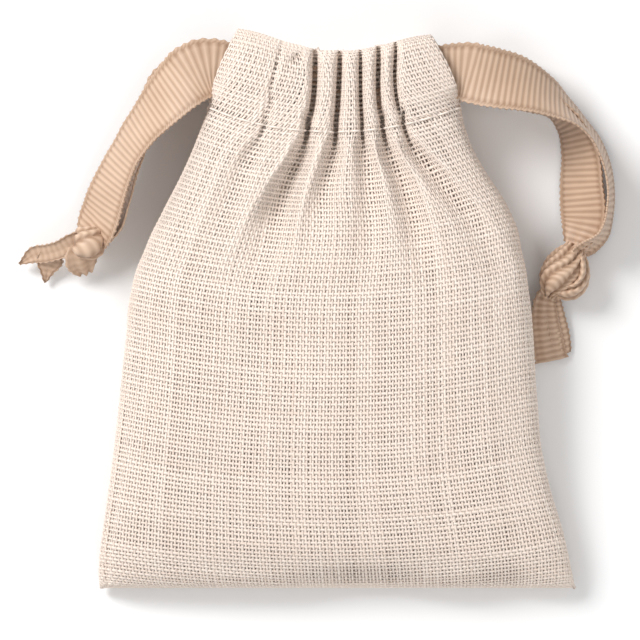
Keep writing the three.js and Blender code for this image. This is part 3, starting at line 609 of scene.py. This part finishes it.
def ribbon_strip(table, curl=0.25, pleat=0.75, relief=1.0):
    """A length of ribbon on a table of its middle, turn, tilt and width: corners, faces, painted
    shade.
    """
    count = len(table["x"])
    table = {**table, "place": np.arange(count)}
    fine = np.linspace(0, count - 1, 60 * count)
    middle = np.stack([np.array(table[k], float) for k in "xyz"], axis=1)
    path = curve_through(middle, fine)
    way = np.concatenate([[0], np.cumsum(np.linalg.norm(np.diff(path, axis=0), axis=1))])
    hidden = (np.abs(path[:, 0] - HIDDEN_MIDDLE) < HIDDEN_HALF) * (path[:, 1] > HIDDEN_ABOVE)
    worth = np.where(hidden[1:], HIDDEN_SHARE, 1)
    effort = np.concatenate([[0], np.cumsum(np.diff(way) * worth)])
    stops = np.linspace(0, effort[-1], int(effort[-1] / RING_STEP) + 2)
    at = np.interp(stops, effort, fine)
    way = np.interp(stops, effort, way)
    path = curve_through(middle, at)
    turn, tilt = [np.radians(read(table, k, at, "place")) for k in ("turn", "tilt")]
    half = read(table, "wide", at, "place") / 2
    along = np.gradient(path, axis=0)
    along /= np.linalg.norm(along, axis=1, keepdims=True)
    side = np.stack([np.cos(turn) * np.cos(tilt), np.sin(turn) * np.cos(tilt), np.sin(tilt)], 1)
    side -= (side * along).sum(1, keepdims=True) * along
    side /= np.linalg.norm(side, axis=1, keepdims=True)
    through = np.cross(along, side)
    wave = np.cos(2 * math.pi * way / RIB_PITCH)[:, None]
    border = np.abs(ACROSS) > SELVEDGE
    looped = np.cos(4 * math.pi * way / RIB_PITCH)[:, None] * np.sign(np.abs(ACROSS) - LOOP_ROWS)
    rib = relief * np.where(border, 0.7 * looped, wave)
    seam = np.abs(np.abs(ACROSS) - SELVEDGE) < 0.025
    thick = RIBBON_THICKNESS / 2 + RIB_HEIGHT * rib - SELVEDGE_SUNK * seam
    scallop = LOOP_REACH * wave * (np.abs(ACROSS) == 1) * np.sign(ACROSS)
    spare = np.clip(1 - 2 * half / RIBBON_WIDTH, 0, 1)[:, None]
    folding = 2 * PLEAT_WAVES * math.pi * ACROSS + 0.7 + 0.12 * way[:, None]
    pleats = pleat * spare * np.cos(folding)
    # The tone paints shade and light: darker in the rib grooves, between the selvedge loops, on
    # the sunk line and in pleat hollows, and lighter on pleat crests.
    painted_relief_shade = rib - seam + 1.6 * pleats
    pleats += curl * (0.35 - ACROSS**2)
    offset = (half[:, None] * ACROSS + scallop)[..., None] * side[:, None]
    base = path[:, None] + offset
    top = base + (pleats + thick)[..., None] * through[:, None]
    under = base + (pleats - thick)[..., None] * through[:, None]
    rings = np.concatenate([top, under[:, ::-1]], axis=1)
    rings[..., 2] = np.maximum(rings[..., 2], TABLE_GAP)
    size = rings.shape[1]
    index = np.arange(rings.shape[0] * size).reshape(-1, size)
    here, there = index[:-1], index[1:]
    walls = np.stack([here, there, np.roll(there, -1, 1), np.roll(here, -1, 1)], axis=2)
    ends = np.stack([index[0], index[-1]])
    strips = []
    for k in range(size // 2 - 1):
        strips.append([ends[0, k], ends[0, k + 1], ends[0, -k - 2], ends[0, -k - 1]])
        strips.append([ends[1, k + 1], ends[1, k], ends[1, -k - 1], ends[1, -k - 2]])
    tone = np.concatenate([painted_relief_shade, painted_relief_shade[:, ::-1]], axis=1)
    return rings.reshape(-1, 3), walls.reshape(-1, 4).tolist() + strips, tone.ravel()


def gathered(table, around, creases, depth, twist, seed):
    """A knotted lump of ribbon on a table of its middle and half sizes, creased along its run,
    with painted shade in the creases.
    """
    count = len(table["x"])
    table = {**table, "place": np.arange(count)}
    at = np.linspace(0, count - 1, 24 * count)
    path = curve_through(np.stack([np.array(table[k], float) for k in "xyz"], axis=1), at)
    wide, high = read(table, "wide", at, "place"), read(table, "high", at, "place")
    along = np.gradient(path, axis=0)
    along /= np.linalg.norm(along, axis=1, keepdims=True)
    side = np.cross(along, [0, 0, 1.0])
    side /= np.linalg.norm(side, axis=1, keepdims=True)
    through = np.cross(side, along)
    angle = np.arange(around) / around * 2 * math.pi
    # The creases wander round the lump, the ribs follow them and the lump itself is uneven.
    own = np.random.default_rng(seed)
    slow = own.normal(size=4)
    phase = twist * at[:, None] + 0.5 * np.sin(1.7 * at[:, None] + 2 * angle + slow[0])
    ridge = np.abs(np.sin(0.5 * creases * angle + phase + 0.4 * np.sin(3 * angle + slow[1])))
    way = way_along(path)[:, None]
    ribs = np.cos(2 * math.pi * way / RIB_PITCH + 5 * ridge + 2 * np.sin(angle + slow[2]))
    ridge = 0.86 * ridge + 0.07 * (1 + ribs)
    lump = 1 + 0.08 * np.sin(2 * angle + 1.3 * at[:, None] + slow[3])
    reach = lump + depth * (ridge - 0.8) / np.minimum(wide, high)[:, None]
    rings = path[:, None] + (wide[:, None] * np.cos(angle) * reach)[..., None] * side[:, None]
    rings = rings + (high[:, None] * np.sin(angle) * reach)[..., None] * through[:, None]
    rings[..., 2] = np.maximum(rings[..., 2], TABLE_GAP)
    index = np.arange(rings.shape[0] * around).reshape(-1, around)
    here, there = index[:-1], index[1:]
    walls = np.stack([here, np.roll(here, -1, 1), np.roll(there, -1, 1), there], axis=2)
    faces = walls.reshape(-1, 4).tolist() + [index[0, ::-1].tolist(), index[-1].tolist()]
    # The tone paints shade into the creases and between the ribs, and light on the ridges.
    return rings.reshape(-1, 3), faces, (3.2 * ridge - 2.4 + 0.6 * ribs).ravel()


def joined(parts):
    """Several meshes as one list of corners, faces and tones."""
    corners, faces, tones = [], [], []
    for points, own_faces, own_tone in parts:
        start = sum(len(c) for c in corners)
        corners.append(points)
        faces += [[start + k for k in face] for face in own_faces]
        tones.append(own_tone)
    return np.concatenate(corners), faces, np.concatenate(tones)


# The ribbon's colour runs from a shaded to a lit beige. Its tone paints shade in the rib grooves,
# pleat hollows and knot creases and light on the crests, and a fine noise adds a random mottle.
RIBBON_SHADED_BEIGE = (0.36, 0.225, 0.145, 1)
RIBBON_LIT_BEIGE = (0.66, 0.475, 0.345, 1)
grosgrain = bpy.data.materials.new("beige grosgrain ribbon")
grosgrain.use_nodes = True
grosgrain_shader = grosgrain.node_tree.nodes["Principled BSDF"]
grosgrain_shader.inputs["Roughness"].default_value = 0.5
grosgrain_shader.inputs["Specular IOR Level"].default_value = 0.4
grosgrain_shader.inputs["Sheen Weight"].default_value = 0.25
grosgrain_shader.inputs["Sheen Roughness"].default_value = 0.35
silk = Maths(grosgrain.node_tree, None)
relief_shade_input = silk.node("ShaderNodeAttribute", {"attribute_name": "tone"}, {}, "Fac")
place = silk.node("ShaderNodeTexCoord", {}, {}, "Object")
cloudy = silk.node("ShaderNodeTexNoise", {}, {"Vector": place, "Scale": 180.0, "Detail": 2.0})
shade_and_mottle = (relief_shade_input * 0.36 + cloudy * 0.5 + 0.3).clamped()
ribbon_colour = shade_and_mottle.mix(RIBBON_SHADED_BEIGE, RIBBON_LIT_BEIGE)
grosgrain.node_tree.links.new(ribbon_colour.value, grosgrain_shader.inputs["Base Color"])


def drawstring(name, parts, node):
    """A finished ribbon from its parts, standing for its solid."""
    points, faces, tone = joined(parts)
    piece = piece_of(name, points, faces, grosgrain, tone)
    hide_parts(node)
    return piece


LEFT_KNOT = {
    "x": [-39.9, -40.7, -41.7, -42.6, -43.2],
    "y": [59.9, 58.9, 57.9, 57.2, 56.9],
    "z": [5.0, 5.2, 5.2, 4.8, 4.2],
    "wide": [1.2, 2.3, 2.8, 2.1, 0.8],
    "high": [1.6, 2.9, 3.3, 2.5, 1.0],
}
left_parts = [
    ribbon_strip(LEFT_ROUTE),
    ribbon_strip(LEFT_FREE_END, curl=0.3, pleat=0.14, relief=0.45),
    ribbon_strip(LEFT_LOWER_TIP, curl=0.2, pleat=0.2, relief=0.5),
    ribbon_strip(LEFT_FAN, curl=0.6, pleat=0.6, relief=0.35),
    gathered(LEFT_KNOT, 72, 6, 0.4, 1.1, 3),
]
drawstring("ribbon_left_strip", left_parts, "ribbon_left")

# The right drawstring is the same ribbon, drawn the other way and with a longer, looser knot. Its
# ends hang down together beside the cloth.

RIGHT_ROUTE = {
    "x": [
        39.8, 42, 44.4, 45.5, 45.2, 43.6, 40.2, 36.6, 33.2, 29.8, 26.6, 23.4, 20.6, 14, 8, 0, -8,
        -14, -19.8, -22.2, -24, -24.4, -24, -22, -19.6, -14, -8, 0, 8, 14, 19.6, 26, 31, 34.8,
        38.5, 40.4, 40.7, 40.9, 39.8
    ],
    "y": [
        56, 57.4, 59.6, 64.6, 69.4, 74, 78.6, 81.5, 83.3, 84.5, 85.2, 85.9, 86.5, 85.9, 82, 81.5,
        82, 85.8, 87.2, 87.2, 87.2, 87.2, 87.2, 87.1, 86.8, 85.6, 81.7, 81.1, 81.7, 85.6, 86.2,
        85.6, 84.2, 81.6, 77.8, 72.8, 67.2, 61.6, 57.6
    ],
    "z": [
        4.4, 5.2, 5.8, 6, 6.4, 7.4, 9.2, 11, 12.6, 13.7, 14.2, 14.3, 14, 14, 14, 13.35, 12.7, 12.7,
        12.7, 12.4, 10.6, 7.9, 5.2, 3.4, 3.1, 3.1, 3.1, 2.45, 1.8, 1.8, 1.75, 1.8, 3, 4.6, 4.8,
        4.5, 4.5, 4.5, 4.4
    ],
    "turn": [
        10, -34, -20, 0, 12, 28, 42, 56, 70, 79, 82, 84, 85, 88, 88, 90, 92, 92, 90, 90, 90, 90,
        90, 90, 90, 92, 92, 90, 88, 88, 84, 80, 72, 54, 32, 12, 2, -4, -8
    ],
    "tilt": [
        -60, -72, -80, -83, -83, -82, -79, -62, -44, -24, -11, -2, 0, 0, 0, 0, 0, 0, 0, 0, 0, 0, 0,
        0, 0, 0, 0, 0, 0, 0, 0, 4, 32, 64, 66, 54, 46, 38, 20
    ],
    "wide": [
        4.5, 7.6, 9.4, 10, 10, 10, 10, 10, 10, 10, 10, 10, 9.4, 7, 3.8, 3.8, 3.8, 7, 7, 7.2, 7.2,
        7.2, 7.2, 7.2, 7, 6.4, 3.6, 3.6, 3.6, 6.4, 7.4, 8.8, 9.4, 10, 10, 10, 10, 9, 4.5
    ],
}

RIGHT_TAIL = {
    "x": [36.0, 34.8, 34.7, 35.2, 35.9],
    "y": [50.6, 48.4, 45.2, 41.6, 38.2],
    "z": [3.4, 3.0, 2.4, 1.7, 1.0],
    "turn": [-20, -10, 4, 10, 10],
    "tilt": [4, 4, 4, 2, 0],
    "wide": [2.6, 3.6, 4.6, 5.2, 5.6],
}
RIGHT_UNDER_TAIL = {
    "x": [36.4, 36.0, 36.6, 37.4, 37.9],
    "y": [50.6, 48.2, 45.0, 42.0, 39.4],
    "z": [3.0, 2.6, 2.0, 1.4, 0.8],
    "turn": [-20, -4, 10, 14, 16],
    "tilt": [-6, -8, -10, -8, -4],
    "wide": [2.4, 3.0, 3.4, 3.2, 2.6],
}
RIGHT_KNOT = {
    "x": [39.9, 39.4, 38.4, 37.3, 36.3, 35.6, 35.3],
    "y": [57.6, 56.4, 54.7, 53.0, 51.3, 50.0, 48.9],
    "z": [4.4, 4.4, 4.3, 4.2, 4.0, 3.6, 3.2],
    "wide": [1.5, 2.1, 2.9, 3.4, 2.9, 1.7, 0.9],
    "high": [2.0, 2.8, 3.6, 3.8, 3.2, 2.0, 0.9],
}
RIGHT_KNOT_TURN = {
    "x": [36.6, 38.2, 39.7, 40.6, 40.7, 40.3],
    "y": [50.0, 49.9, 50.6, 52.2, 54.2, 56.4],
    "z": [3.6, 3.8, 4.0, 4.2, 4.4, 4.4],
    "wide": [0.9, 1.5, 1.8, 1.7, 1.3, 0.7],
    "high": [1.6, 2.6, 3.0, 3.0, 2.6, 1.6],
}
right_parts = [
    ribbon_strip(RIGHT_ROUTE),
    ribbon_strip(RIGHT_TAIL, curl=0.3, pleat=0.3),
    ribbon_strip(RIGHT_UNDER_TAIL, curl=0.2, pleat=0.3),
    gathered(RIGHT_KNOT, 96, 9, 0.75, 1.0, 5),
    gathered(RIGHT_KNOT_TURN, 72, 7, 0.6, 0.8, 9),
]
drawstring("ribbon_right_strip", right_parts, "ribbon_right")

# The stage is a plain pale surface, a camera with a long lens straight above the face, and soft
# studio light. The key lamp stands at the upper left and a weaker one at the foot of the picture.

bpy.ops.mesh.primitive_plane_add(size=4, location=(0, 0, -0.0002))
floor = bpy.context.object
floor.name = "floor"
floor_paint = bpy.data.materials.new("plain pale surface")
floor_paint.use_nodes = True
floor_shader = floor_paint.node_tree.nodes["Principled BSDF"]
floor_shader.inputs["Base Color"].default_value = (0.9, 0.9, 0.9, 1)
floor_shader.inputs["Roughness"].default_value = 0.9
floor.data.materials.append(floor_paint)

# The picture is this wide at the height of the face, in metres.
PICTURE_WIDTH = 0.10667
DISTANCE = 2.5
FACE_HEIGHT = 0.012
SENSOR_WIDTH = 36
camera = bpy.data.objects.new("camera", bpy.data.cameras.new("camera"))
bpy.context.collection.objects.link(camera)
camera.data.sensor_width = SENSOR_WIDTH
camera.data.lens = SENSOR_WIDTH * DISTANCE / PICTURE_WIDTH
camera.data.clip_start = 0.01
camera.location = (0.00047, -0.0019, DISTANCE + FACE_HEIGHT)
bpy.context.scene.camera = camera

world = bpy.data.worlds.new("studio")
world.use_nodes = True
sky = world.node_tree.nodes["Background"]
sky.inputs["Color"].default_value = (1, 1, 1, 1)
sky.inputs["Strength"].default_value = 0.55
bpy.context.scene.world = world
bpy.context.scene.view_settings.view_transform = "Standard"


def lamp(name, place, aim, size, power):
    """A square soft lamp that looks at its aim."""
    light = bpy.data.objects.new(name, bpy.data.lights.new(name, "AREA"))
    bpy.context.collection.objects.link(light)
    light.data.size = size
    light.data.energy = power
    light.location = place
    light.rotation_euler = (Vector(aim) - Vector(place)).to_track_quat("-Z", "Y").to_euler()


lamp("key light", (-0.4, 0.35, 0.5), (0, 0, 0.01), 0.3, 4.6)
lamp("fill light", (0.25, -0.45, 0.55), (0, 0, 0.01), 0.5, 1.3)
